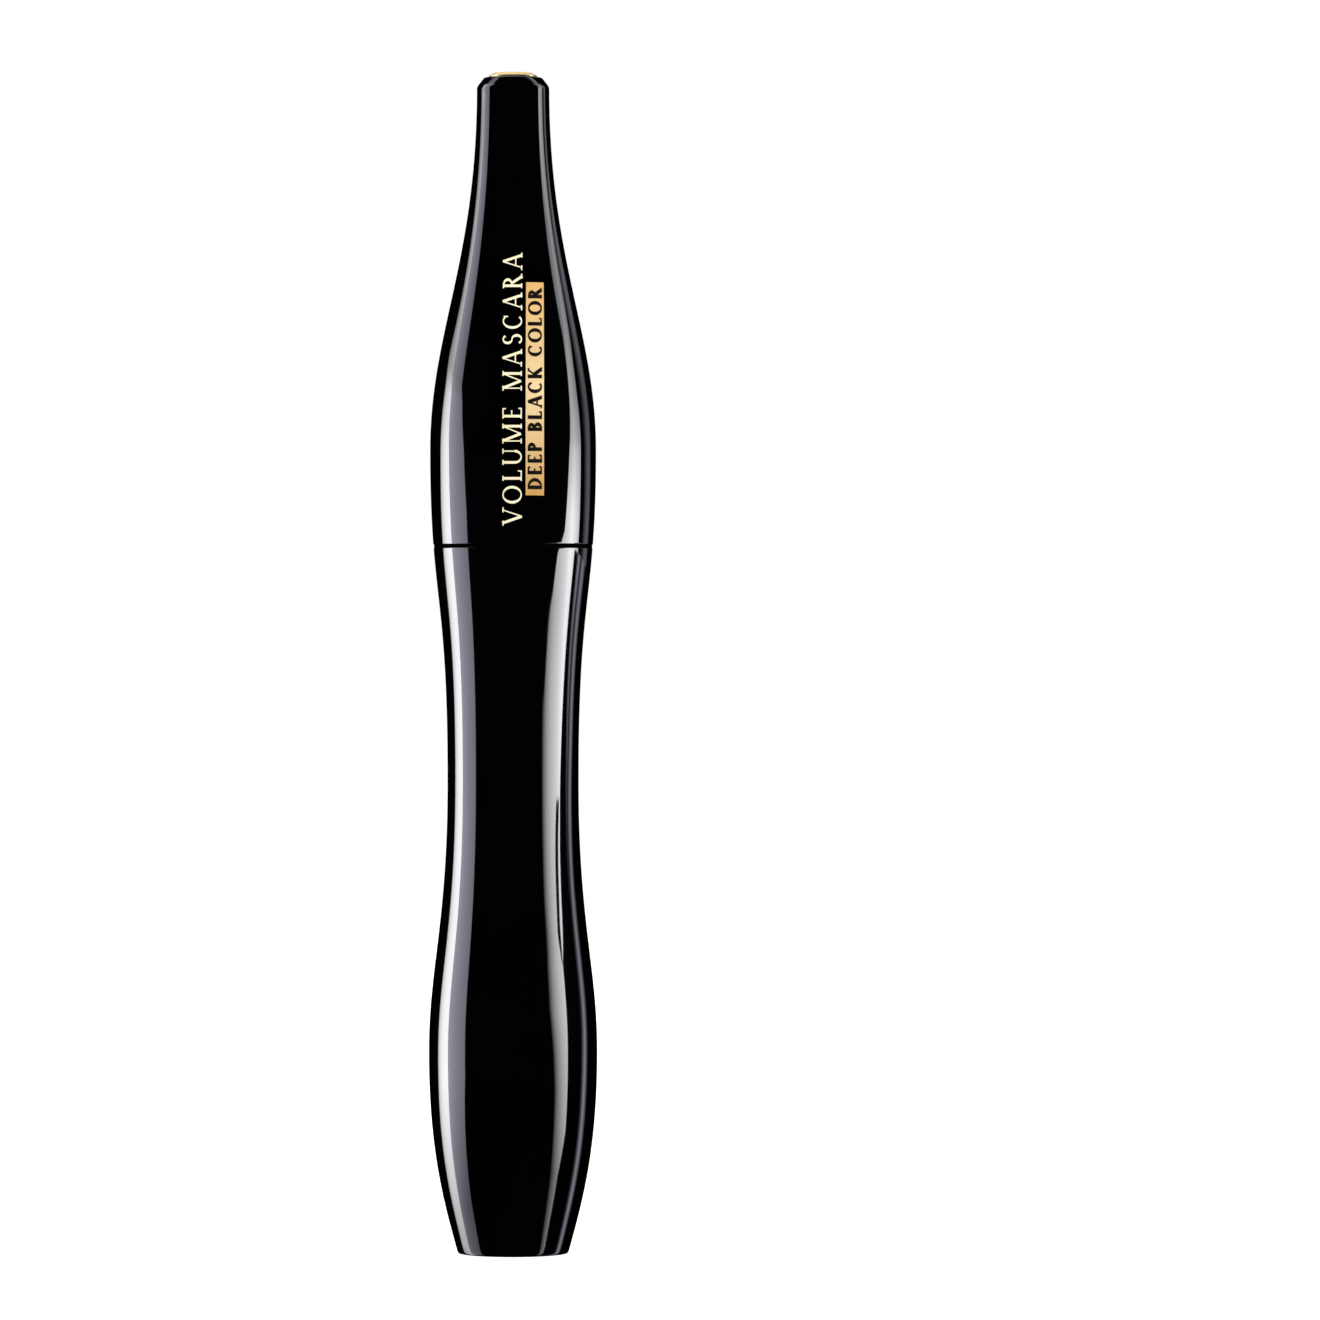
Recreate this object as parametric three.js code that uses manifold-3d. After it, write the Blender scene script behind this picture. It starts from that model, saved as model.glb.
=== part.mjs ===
// A mascara tube: a waisted bottle, its inner vial and wiper, and a screw cap that carries the
// rod and brush. Millimetres, +Z up, origin at the centre of the base. The tube is closed here.
import * as THREE from 'three';
import { mergeVertices } from 'three/addons/utils/BufferGeometryUtils.js';
import Module from 'manifold-3d';

const wasm = await Module();
wasm.setup();

// ---- Driving dimensions -------------------------------------------------------------------

const ROUND = 40; // segments round a turned piece
const SMALL_ROUND = 24; // segments round a piece under 12 mm across
const CURVE_STEPS = 4; // profile points on each outer curve

// Outline stations of the outer shells, from the base up.
const BASE = { r: 6.57, z: 0.4, rounding: 0.4, flare: 0.28 };
const BELLY = { r: 9.85, z: 23.6 };
const WAIST = { r: 7.66, z: 55.3 };
const SHOULDER = { r: 9.7, z: 93.9 };
const TIP = { r: 4.23, z: 136.35 };
const CAP_END = { r: 3.38, z: 137.45 }; // flat end inside the tip's chamfer
const TOP = 138;
const SEAM_LOW = 82.4; // top edge of the bottle
const SEAM_HIGH = 82.85; // lower edge of the cap

const FIT = 0.1; // gap of a pressed or snapped fit
const FACE_GAP = 0.3; // gap above the ledge that the vial's flange comes down to
const SEAL_GAP = 0.05; // gap between faces that close on each other

const BASE_BORE = { r: 5.5, top: 3.2, coneTop: 4.4 };
const VIAL_BORE_R = 6.45;
const MOUTH = { r: 8.1, floor: 79.6 }; // counterbore that takes the vial's flange

const VIAL = { r: VIAL_BORE_R - FIT, wall: 1, bottom: 3.6, footR: 4.75, footTop: 5.8 };
const VIAL_HOLLOW = { footR: 3.95, footTop: 6.4, coneTop: 78.4, neckLow: 80.8 };
const FLANGE = { r: MOUTH.r - FIT, low: MOUTH.floor + FACE_GAP, high: SEAM_LOW + SEAL_GAP };
const COLLAR = { r: 9.25, high: SEAM_HIGH - SEAL_GAP, slope: 0.1 }; // fills the seam, a little sunk
const NECK = { r: 5.6, boreR: 4.7, top: 93, chamfer: 0.35 };

const LEAD = 5; // rise of the cap in one turn
const STARTS = 2;
const THREAD_TURNS = 1.1;
const THREAD_STEPS = 24; // segments in one turn of thread
const THREAD_LOW = 84.6; // height at which the neck's threads begin
const RIDGE = { root: 1.1, crest: 0.5, height: 0.8, foot: 0.3 }; // foot is buried in the wall

const KEYS = 4; // keys that stop the liner and the vial from turning
const KEY = { width: 1.6, height: 0.5 };
const VIAL_KEY = { r: 7.45, low: 78.5, high: 80.2, slotLow: 78.2, slotHigh: 80.1 };
const LINER_KEY = { low: 84.75, high: 98, slotLow: 84.35 };

const LINER = { r: 7.5, boreR: NECK.r + RIDGE.height + 0.2, low: 83.5, high: 98.6, chamfer: 0.3 };
const STEM_SEAT = 96.9; // underside of the liner's top, above the stem's head
const LINER_CONE = { low: 93.2, high: 93.9 }; // the bore narrows here to the stem's head
const WASHER = { r: 5.2, low: 93.95, high: 94.6 };

const ROD = { r: 1.83, endR: 1.24, low: 37.7, taperTop: 41.4 };
const STEM_HEAD = { r: 5.2, low: 94.8, high: 96.4, crown: 0.2 };

const WIPER = { low: 84.2, footTop: 84.8, footInset: 0.25, throatR: 3.9, throatLow: 87.6 };
const WIPER_LIP = { gap: 0.06, low: 84.6, high: 85.2, rootR: 3.3, rootTop: 86.6 };
const WIPER_FLANGE = { r: 5.25, low: NECK.top + SEAL_GAP, thickness: 0.6 };

const PASTE = { channelR: 4.15, shoulder: 59.4, rim: 60.2, top: 61, rimInset: 0.5 };
const PASTE_FLOOR = { r: 2.95, top: 7.9, edge: 8.2, coneTop: 9.4, outerCut: 2.1 };

const WIRE = { r: 0.34, tip: 9.9, top: 44 }; // r is the radius of each of the two strands
const WIRE_STEPS = 6; // segments in one turn of the twist
const SOCKET = { r: 2 * WIRE.r + 0.06, depth: 0.4 }; // hole in the rod round the wire

const ROWS = 19;
const ROW = { pitch: 1.39, low: 11.2, thickness: 0.55, teeth: 14, notch: 0.72, hubR: 0.78 };
// (row, radius): a small first row, a full head, a slimmer middle and a flared foot.
const BRUSH_PROFILE = [
  [0, 2.7], [2, 3], [4, 3.75], [7, 3.5], [11, 3.32], [14, 3.42], [17, 3.8], [18, 3.45],
];

const CAP_WALL = 1.55;
const CAP_HOLLOW = { low: 105, high: 130, floorR: 6.6, floor: LINER.high + 0.3 };
const END_PLUG = { r: 2.8, low: 132, high: CAP_END.z - SEAL_GAP, chamfer: 0.4, boreLow: 131 };
const DISC = { r: 2.85, topR: 2.2, low: CAP_END.z + SEAL_GAP, edge: 0.12 };

const BASE_PLUG = { r: BASE_BORE.r - FIT, low: 0.3, high: 2.9, wall: 1.2, web: 1.7, edge: 0.2, lead: 0.3 };
const RECESS = { r: 4.7, top: 0.6 };
const LABEL = { r: 4.6, low: 0.42, high: 0.55 };

// ---- Helpers ------------------------------------------------------------------------------

const point = (r, z) => new THREE.Vector2(r, z);

// Turns a closed (radius, height) outline about the Z axis.
function turned(outline, segments = ROUND) {
  const geometry = new THREE.LatheGeometry(outline, segments);
  geometry.rotateX(Math.PI / 2);
  return geometry;
}

function cleaned(geometry) {
  const copy = geometry.clone();
  copy.deleteAttribute('normal');
  copy.deleteAttribute('uv');
  return mergeVertices(copy, 1e-4);
}

// A manifold solid of a closed geometry, whichever way its faces point.
function solid(geometry) {
  const merged = cleaned(geometry);
  const position = merged.attributes.position.array;
  const index = Array.from(merged.index.array).filter((_, i, all) => {
    const first = i - (i % 3);
    const [a, b, c] = [all[first], all[first + 1], all[first + 2]];
    return a !== b && b !== c && c !== a;
  });
  let volume = 0;
  for (let i = 0; i < index.length; i += 3) {
    const [a, b, c] = [0, 1, 2].map((k) => new THREE.Vector3().fromArray(position, 3 * index[i + k]));
    volume += a.dot(b.cross(c));
  }
  if (volume < 0) index.reverse();
  return new wasm.Manifold(new wasm.Mesh({
    numProp: 3,
    vertProperties: new Float32Array(position),
    triVerts: new Uint32Array(index),
  }));
}

function geometryOf(manifold) {
  const mesh = manifold.getMesh();
  const geometry = new THREE.BufferGeometry();
  geometry.setAttribute('position', new THREE.BufferAttribute(mesh.vertProperties, 3));
  geometry.setIndex(new THREE.BufferAttribute(mesh.triVerts, 1));
  return geometry;
}

const joined = (body, pieces) => pieces.reduce((sum, piece) => sum.add(piece), body);
const cutBy = (body, pieces) => pieces.reduce((rest, piece) => rest.subtract(piece), body);

// ---- Outer outline ------------------------------------------------------------------------

// A smooth outer curve between two stations, upright at both ends or leaning at its lower one.
function span(low, high, lowReach, highReach, lowLean = 0) {
  return new THREE.CubicBezierCurve(
    point(low.r, low.z),
    point(low.r + lowLean * lowReach, low.z + lowReach),
    point(high.r, high.z - highReach),
    point(high.r, high.z),
  );
}

const OUTLINE = [
  span(BASE, BELLY, 6.1, 11.1, BASE.flare),
  span(BELLY, WAIST, 10.2, 16.9),
  span(WAIST, SHOULDER, 22.5, 17.9),
  span(SHOULDER, TIP, 13.9, 20.6),
].flatMap((curve) => curve.getPoints(60));

function outerRadius(z) {
  const above = OUTLINE.findIndex((p) => p.y >= z && p.y > OUTLINE[0].y);
  const [low, high] = [OUTLINE[above - 1], OUTLINE[above]];
  return THREE.MathUtils.mapLinear(z, low.y, high.y, low.x, high.x);
}

// Points on the outer surface, moved inwards by inset, from zLow to zHigh.
function outerPoints(zLow, zHigh, count, inset = 0) {
  return Array.from({ length: count + 1 }, (_, i) => {
    const z = THREE.MathUtils.lerp(zLow, zHigh, i / count);
    return point(outerRadius(z) - inset, z);
  });
}

// ---- Threads and keys ---------------------------------------------------------------------

// One helical ridge, standing outwards (side 1) or inwards (side -1) from wallR.
function ridge(wallR, side, zStart, phase) {
  const steps = Math.round(THREAD_TURNS * THREAD_STEPS);
  const [footR, crestR] = [wallR - side * RIDGE.foot, wallR + side * RIDGE.height];
  const section = [
    [footR, -RIDGE.root / 2],
    [crestR, -RIDGE.crest / 2],
    [crestR, RIDGE.crest / 2],
    [footR, RIDGE.root / 2],
  ];
  const positions = [];
  for (let i = 0; i <= steps; i += 1) {
    const turn = i / THREAD_STEPS;
    const angle = 2 * Math.PI * (turn + phase);
    for (const [r, z] of section) {
      positions.push(r * Math.cos(angle), r * Math.sin(angle), zStart + z + LEAD * turn);
    }
  }
  const corners = section.length;
  const index = [0, 1, 2, 0, 2, 3];
  for (let i = 0; i < steps; i += 1) {
    for (let k = 0; k < corners; k += 1) {
      const [a, b] = [corners * i + k, corners * i + ((k + 1) % corners)];
      index.push(a, a + corners, b, b, a + corners, b + corners);
    }
  }
  const last = corners * steps;
  index.push(last, last + 2, last + 1, last, last + 3, last + 2);
  const geometry = new THREE.BufferGeometry();
  geometry.setAttribute('position', new THREE.Float32BufferAttribute(positions, 3));
  geometry.setIndex(index);
  return solid(geometry);
}

const threads = (wallR, side, zStart) => Array.from(
  { length: STARTS },
  (_, i) => ridge(wallR, side, zStart, i / STARTS),
);

// Bars round a circle that key two pressed pieces together, or, with a gap, the slots for them.
function keys(r, zLow, zHigh, gap = 0) {
  return Array.from({ length: KEYS }, (_, i) => {
    const bar = new THREE.BoxGeometry(2 * (KEY.height + gap), KEY.width + 2 * gap, zHigh - zLow);
    bar.translate(r, 0, (zLow + zHigh) / 2);
    bar.rotateZ((2 * Math.PI * (i + 0.5)) / KEYS);
    return solid(bar);
  });
}

// ---- Bottle -------------------------------------------------------------------------------

function bottleShell() {
  const body = solid(turned([
    point(BASE_BORE.r, 0),
    point(BASE.r - BASE.rounding, 0),
    ...outerPoints(BASE.z, SEAM_LOW, 4 * CURVE_STEPS),
    point(MOUTH.r, SEAM_LOW),
    point(MOUTH.r, MOUTH.floor),
    point(VIAL_BORE_R, MOUTH.floor),
    point(VIAL_BORE_R, BASE_BORE.coneTop),
    point(BASE_BORE.r, BASE_BORE.top),
    point(BASE_BORE.r, 0),
  ]));
  return geometryOf(cutBy(body, keys(VIAL_KEY.r, VIAL_KEY.slotLow, VIAL_KEY.slotHigh, FIT)));
}

// The reservoir. Its flange sits in the shell's mouth and its collar fills the seam.
function vial() {
  const floor = VIAL.bottom + VIAL.wall;
  const body = solid(turned([
    point(0, VIAL.bottom),
    point(VIAL.footR, VIAL.bottom),
    point(VIAL.r, VIAL.footTop),
    point(VIAL.r, FLANGE.low),
    point(FLANGE.r, FLANGE.low),
    point(FLANGE.r, FLANGE.high),
    point(COLLAR.r, FLANGE.high),
    point(COLLAR.r, COLLAR.high - COLLAR.slope),
    point(NECK.r, COLLAR.high),
    point(NECK.r, NECK.top - NECK.chamfer),
    point(NECK.r - NECK.chamfer, NECK.top),
    point(NECK.boreR, NECK.top),
    point(NECK.boreR, VIAL_HOLLOW.neckLow),
    point(VIAL.r - VIAL.wall, VIAL_HOLLOW.coneTop),
    point(VIAL.r - VIAL.wall, VIAL_HOLLOW.footTop),
    point(VIAL_HOLLOW.footR, floor),
    point(0, floor),
  ]));
  const lugs = keys(VIAL_KEY.r, VIAL_KEY.low, VIAL_KEY.high);
  return geometryOf(joined(body, [...threads(NECK.r, 1, THREAD_LOW), ...lugs]));
}

// A sleeve snapped into the neck, with a thin cone that closes to a lip round the rod.
function wiper() {
  const sleeveR = NECK.boreR - FIT;
  const flangeHigh = WIPER_FLANGE.low + WIPER_FLANGE.thickness;
  const lipR = ROD.r + WIPER_LIP.gap;
  return turned([
    point(WIPER.throatR, flangeHigh),
    point(WIPER.throatR, WIPER.throatLow),
    point(lipR, WIPER_LIP.high),
    point(lipR, WIPER_LIP.low),
    point(WIPER_LIP.rootR, WIPER_LIP.rootTop),
    point(WIPER.throatR - FIT, WIPER.low),
    point(sleeveR - WIPER.footInset, WIPER.low),
    point(sleeveR, WIPER.footTop),
    point(sleeveR, WIPER_FLANGE.low),
    point(WIPER_FLANGE.r, WIPER_FLANGE.low),
    point(WIPER_FLANGE.r, flangeHigh),
    point(WIPER.throatR, flangeHigh),
  ], SMALL_ROUND);
}

// The product lines the vial. The brush has cleared a channel down its middle.
function mascaraPaste() {
  const outer = VIAL.r - VIAL.wall - FIT;
  const floor = VIAL.bottom + VIAL.wall + FIT;
  return turned([
    point(0, floor),
    point(outer - PASTE_FLOOR.outerCut, floor),
    point(outer, floor + PASTE_FLOOR.outerCut),
    point(outer, PASTE.top),
    point(outer - PASTE.rimInset, PASTE.rim),
    point(PASTE.channelR, PASTE.shoulder),
    point(PASTE.channelR, PASTE_FLOOR.coneTop),
    point(PASTE_FLOOR.r, PASTE_FLOOR.edge),
    point(0, PASTE_FLOOR.top),
  ]);
}

function basePlug() {
  const { r, low, high, wall, web, edge, lead } = BASE_PLUG;
  return turned([
    point(0, RECESS.top),
    point(RECESS.r, RECESS.top),
    point(RECESS.r, low),
    point(r - edge, low),
    point(r, low + edge),
    point(r, high - lead),
    point(r - wall, high),
    point(r - wall, web),
    point(0, web),
  ]);
}

function baseLabel() {
  const { r, low, high } = LABEL;
  return turned([point(0, low), point(r, low), point(r, high), point(0, high)]);
}

// ---- Applicator ---------------------------------------------------------------------------

function capShell() {
  const boreR = LINER.r + FIT;
  const plugBoreR = END_PLUG.r + FIT;
  const body = solid(turned([
    point(boreR, SEAM_HIGH),
    ...outerPoints(SEAM_HIGH, TIP.z, 4 * CURVE_STEPS),
    point(CAP_END.r, CAP_END.z),
    point(plugBoreR, CAP_END.z),
    point(plugBoreR, END_PLUG.boreLow),
    ...outerPoints(CAP_HOLLOW.low, CAP_HOLLOW.high, CURVE_STEPS, CAP_WALL).reverse(),
    point(CAP_HOLLOW.floorR, CAP_HOLLOW.floor),
    point(boreR, CAP_HOLLOW.floor),
    point(boreR, SEAM_HIGH),
  ]));
  return geometryOf(cutBy(body, keys(LINER.r, LINER_KEY.slotLow, CAP_HOLLOW.floor, FIT)));
}

// The threaded sleeve inside the cap. Its ridges run midway between the neck's.
function capLiner() {
  const { r, boreR, low, high, chamfer } = LINER;
  const headR = STEM_HEAD.r + FIT;
  const body = solid(turned([
    point(boreR, low),
    point(r - chamfer, low),
    point(r, low + chamfer),
    point(r, high - chamfer),
    point(r - chamfer, high),
    point(0, high),
    point(0, STEM_SEAT),
    point(headR, STEM_SEAT),
    point(headR, LINER_CONE.high),
    point(boreR, LINER_CONE.low),
    point(boreR, low),
  ]));
  const innerThreads = threads(boreR, -1, THREAD_LOW + LEAD / (2 * STARTS));
  return geometryOf(joined(body, [...innerThreads, ...keys(r, LINER_KEY.low, LINER_KEY.high)]));
}

function sealWasher() {
  const bore = ROD.r + FIT;
  return turned([
    point(bore, WASHER.low),
    point(WASHER.r, WASHER.low),
    point(WASHER.r, WASHER.high),
    point(bore, WASHER.high),
    point(bore, WASHER.low),
  ], SMALL_ROUND);
}

function wandRod() {
  const socketTop = WIRE.top + SOCKET.depth;
  return turned([
    point(SOCKET.r, ROD.low),
    point(ROD.endR, ROD.low),
    point(ROD.r, ROD.taperTop),
    point(ROD.r, STEM_HEAD.low),
    point(STEM_HEAD.r, STEM_HEAD.low),
    point(STEM_HEAD.r, STEM_HEAD.high),
    point(0, STEM_HEAD.high + STEM_HEAD.crown),
    point(0, socketTop),
    point(SOCKET.r, WIRE.top),
    point(SOCKET.r, ROD.low),
  ], SMALL_ROUND);
}

// One wire bent back on itself at the tip and twisted: a twisted bar as wide as two strands
// side by side, and the round bend at its end.
function brushWire() {
  const bendCentre = WIRE.tip + 2 * WIRE.r;
  const length = WIRE.top - bendCentre;
  const turns = length / (2 * ROW.pitch);
  const section = new THREE.Shape();
  section.absarc(WIRE.r, 0, WIRE.r, -Math.PI / 2, Math.PI / 2);
  section.absarc(-WIRE.r, 0, WIRE.r, Math.PI / 2, 1.5 * Math.PI);
  const bar = new THREE.ExtrudeGeometry(section, {
    depth: length,
    steps: Math.round(turns * WIRE_STEPS),
    curveSegments: 2,
    bevelEnabled: false,
  });
  const corners = bar.attributes.position;
  for (let i = 0; i < corners.count; i += 1) {
    const corner = new THREE.Vector3().fromBufferAttribute(corners, i);
    corner.applyAxisAngle(new THREE.Vector3(0, 0, 1), (2 * Math.PI * turns * corner.z) / length);
    corners.setXYZ(i, corner.x, corner.y, corner.z + bendCentre);
  }
  const bend = new THREE.SphereGeometry(2 * WIRE.r, 10, 6);
  bend.rotateX(Math.PI / 2);
  bend.translate(0, 0, bendCentre);
  return geometryOf(solid(bend).add(solid(bar)));
}

function rowRadius(row) {
  const profile = new THREE.SplineCurve(BRUSH_PROFILE.map(([at, r]) => point(at, r))).getPoints(72);
  return profile.find((p) => p.x >= row).y;
}

// Half a turn of the brush, as a toothed ring round the wire.
function bristleRow(row) {
  const r = rowRadius(row);
  const outline = Array.from({ length: 2 * ROW.teeth }, (_, i) => {
    const angle = (Math.PI * (i + row)) / ROW.teeth;
    const reach = i % 2 ? r : r * ROW.notch;
    return point(reach * Math.cos(angle), reach * Math.sin(angle));
  });
  const shape = new THREE.Shape(outline);
  shape.holes.push(new THREE.Path().absarc(0, 0, ROW.hubR, 0, 2 * Math.PI, true));
  const geometry = new THREE.ExtrudeGeometry(shape, {
    depth: ROW.thickness,
    curveSegments: 5,
    bevelEnabled: false,
  });
  geometry.translate(0, 0, ROW.low + row * ROW.pitch - ROW.thickness / 2);
  return geometry;
}

function capEndPlug() {
  const { r, low, high, chamfer } = END_PLUG;
  return turned([
    point(0, low),
    point(r - chamfer, low),
    point(r, low + chamfer),
    point(r, high),
    point(0, high),
  ], SMALL_ROUND);
}

function goldDisc() {
  const { r, topR, low, edge } = DISC;
  return turned([
    point(0, low),
    point(r, low),
    point(r, low + edge),
    point(topR, TOP),
    point(0, TOP),
  ], SMALL_ROUND);
}

// ---- Materials and assembly ---------------------------------------------------------------

const finish = (color, roughness, metalness = 0) => ({ color, roughness, metalness });
const GLOSS_BLACK = finish(0x050506, 0.08);
const SATIN_BLACK = finish(0x0b0b0d, 0.3);
const ROD_BLACK = finish(0x070708, 0.12);
const GOLD = finish(0xd9a441, 0.28, 1);
const SOFT_PLASTIC = finish(0xe6e4de, 0.55);
const WET_PASTE = finish(0x040405, 0.18);
const STEEL = finish(0x9a9ba0, 0.3, 1);
const FIBRE = finish(0x070708, 0.35);
const LABEL_FILM = finish(0x17171a, 0.4);

const object = new THREE.Group();

function place(name, geometry, look) {
  const mesh = new THREE.Mesh(cleaned(geometry), new THREE.MeshStandardMaterial(look));
  mesh.name = name;
  object.add(mesh);
}

place('bottle_shell', bottleShell(), GLOSS_BLACK);
place('base_plug', basePlug(), SATIN_BLACK);
place('base_label', baseLabel(), LABEL_FILM);
place('vial', vial(), SATIN_BLACK);
place('wiper', wiper(), SOFT_PLASTIC);
place('mascara_paste', mascaraPaste(), WET_PASTE);
place('seal_washer', sealWasher(), SOFT_PLASTIC);
place('cap_shell', capShell(), GLOSS_BLACK);
place('cap_liner', capLiner(), SATIN_BLACK);
place('cap_end_plug', capEndPlug(), SATIN_BLACK);
place('gold_disc', goldDisc(), GOLD);
place('wand_rod', wandRod(), ROD_BLACK);
place('brush_wire', brushWire(), STEEL);
for (let row = 0; row < ROWS; row += 1) {
  place(`bristle_row_${String(row + 1).padStart(2, '0')}`, bristleRow(row), FIBRE);
}

export default object;
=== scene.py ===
"""The looks of a mascara tube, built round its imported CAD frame.

Blender works in metres, in the CAD's own frame: +Z up, origin at the centre of the base.
Sizes below are in millimetres and are scaled by MM where they meet Blender."""
import math
import random

import bmesh
import bpy
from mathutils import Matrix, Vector, noise

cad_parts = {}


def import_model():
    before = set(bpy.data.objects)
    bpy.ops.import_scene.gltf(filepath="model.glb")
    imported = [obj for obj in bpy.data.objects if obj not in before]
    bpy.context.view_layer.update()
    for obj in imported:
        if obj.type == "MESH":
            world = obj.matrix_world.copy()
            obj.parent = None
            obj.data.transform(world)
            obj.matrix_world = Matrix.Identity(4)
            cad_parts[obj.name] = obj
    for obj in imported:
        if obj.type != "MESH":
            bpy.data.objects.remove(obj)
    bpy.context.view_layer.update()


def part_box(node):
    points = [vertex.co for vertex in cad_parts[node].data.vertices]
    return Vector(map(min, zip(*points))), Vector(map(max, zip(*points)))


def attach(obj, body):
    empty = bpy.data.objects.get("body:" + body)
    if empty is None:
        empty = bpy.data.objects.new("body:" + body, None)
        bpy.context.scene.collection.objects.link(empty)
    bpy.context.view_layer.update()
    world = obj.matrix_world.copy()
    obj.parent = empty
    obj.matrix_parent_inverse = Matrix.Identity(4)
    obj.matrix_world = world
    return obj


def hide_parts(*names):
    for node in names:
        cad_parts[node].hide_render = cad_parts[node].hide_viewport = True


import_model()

MM = 0.001

# ---- Driving dimensions, as in the CAD ------------------------------------------------------

BASE = (6.57, 0.4)  # (radius, height) stations of the outer outline
BELLY = (9.85, 23.6)
WAIST = (7.66, 55.3)
SHOULDER = (9.7, 93.9)
TIP = (4.23, 136.35)
CAP_END = (3.38, 137.45)
TOP = 138.0
SEAM_LOW = 82.4
SEAM_HIGH = 82.85
COLLAR_R = 9.25  # the black ring that shows in the seam
FIT = 0.1  # gap of a pressed fit
SEAL_GAP = 0.05  # gap between faces that close on each other

BASE_BORE_R = 5.5
VIAL_BORE_R = 6.45
VIAL_R = 6.35
VIAL_WALL = 1.0
VIAL_BOTTOM = 3.6
MOUTH_R = 8.1
MOUTH_FLOOR = 79.6
NECK_R = 5.6
NECK_BORE_R = 4.7
NECK_TOP = 93.0

LEAD = 5.0
STARTS = 2
THREAD_TURNS = 1.1
THREAD_LOW = 84.6
THREAD_HEIGHT = 0.8
LINER_BORE_R = 6.6
LINER_R = 7.5
LINER_BOTTOM = 83.5
LINER_TOP = 98.6
STEM_SEAT = 96.9

ROD_R = 1.83
ROD_END = (1.24, 37.7)
ROD_TAPER_TOP = 41.4
STEM_HEAD_R = 5.2
STEM_HEAD_LOW = 94.8
STEM_HEAD_HIGH = 96.4
WASHER_R = 5.2
WASHER_LOW = 93.95
WASHER_HIGH = 94.6

PLUG_R = 2.8
PLUG_LOW = 132
DISC_R = 2.85
DISC_TOP_R = 2.2
DISC_EDGE = 0.12

WIRE_R = 0.34
WIRE_TIP = 9.9
WIRE_TOP = 44.0
ROWS = 19
ROW_PITCH = 1.39

# ---- Camera ---------------------------------------------------------------------------------

CAMERA_DISTANCE = 0.85
CAMERA_SIDE = 0.01718  # the tube stands left of the picture's centre
CAMERA_HEIGHT = 0.06935
FRAME_WIDTH = 0.1544  # width of the picture at the tube
SENSOR = 36.0


def make_camera():
    data = bpy.data.cameras.new("camera")
    data.sensor_width = SENSOR
    data.lens = SENSOR * CAMERA_DISTANCE / FRAME_WIDTH
    camera = bpy.data.objects.new("camera", data)
    camera.location = (CAMERA_SIDE, -CAMERA_DISTANCE, CAMERA_HEIGHT)
    camera.rotation_euler = (math.radians(90), 0, 0)
    bpy.context.scene.collection.objects.link(camera)
    bpy.context.scene.camera = camera


# ---- Outlines -------------------------------------------------------------------------------


def bezier(points, t):
    """The point at t on the Bezier curve with these control points."""
    points = [Vector(p) for p in points]
    while len(points) > 1:
        points = [a.lerp(b, t) for a, b in zip(points, points[1:])]
    return points[0]


def span(low, high, low_reach, high_reach, lean=0.0):
    """Control points of the outer curve between two stations."""
    return [
        low,
        (low[0] + lean * low_reach, low[1] + low_reach),
        (high[0], high[1] - high_reach),
        high,
    ]


OUTER_CURVES = [
    span(BASE, BELLY, 6.1, 11.1, 0.28),
    span(BELLY, WAIST, 10.2, 16.9),
    span(WAIST, SHOULDER, 22.5, 17.9),
    span(SHOULDER, TIP, 13.9, 20.6),
]
OUTLINE = [bezier(curve, k / 160) for curve in OUTER_CURVES for k in range(161)]


def outer_radius(z):
    """Radius of the outer surface at height z."""
    if z <= OUTLINE[0].y:
        return OUTLINE[0].x
    for low, high in zip(OUTLINE, OUTLINE[1:]):
        if low.y <= z <= high.y and high.y > low.y:
            return low.x + (high.x - low.x) * (z - low.y) / (high.y - low.y)
    return OUTLINE[-1].x


def outer_points(z_low, z_high, step=0.8):
    count = math.ceil((z_high - z_low) / step)
    heights = [z_low + (z_high - z_low) * k / count for k in range(count + 1)]
    return [(outer_radius(z), z) for z in heights]


def rounded(corners, steps=5):
    """A closed outline in which each corner (r, z, fillet) is rounded and each (r, z) is kept."""
    outline = []
    for i, corner in enumerate(corners):
        here = Vector(corner[:2])
        if len(corner) < 3:
            outline.append(here)
            continue
        before = Vector(corners[i - 1][:2]) - here
        after = Vector(corners[(i + 1) % len(corners)][:2]) - here
        reach = corner[2] / math.tan(before.angle(after) / 2)
        start = here + before.normalized() * min(reach, 0.49 * before.length)
        end = here + after.normalized() * min(reach, 0.49 * after.length)
        outline += [bezier([start, here, end], k / steps) for k in range(steps + 1)]
    return outline


# ---- Mesh building --------------------------------------------------------------------------

SHARP_ANGLE = math.radians(35)


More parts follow.
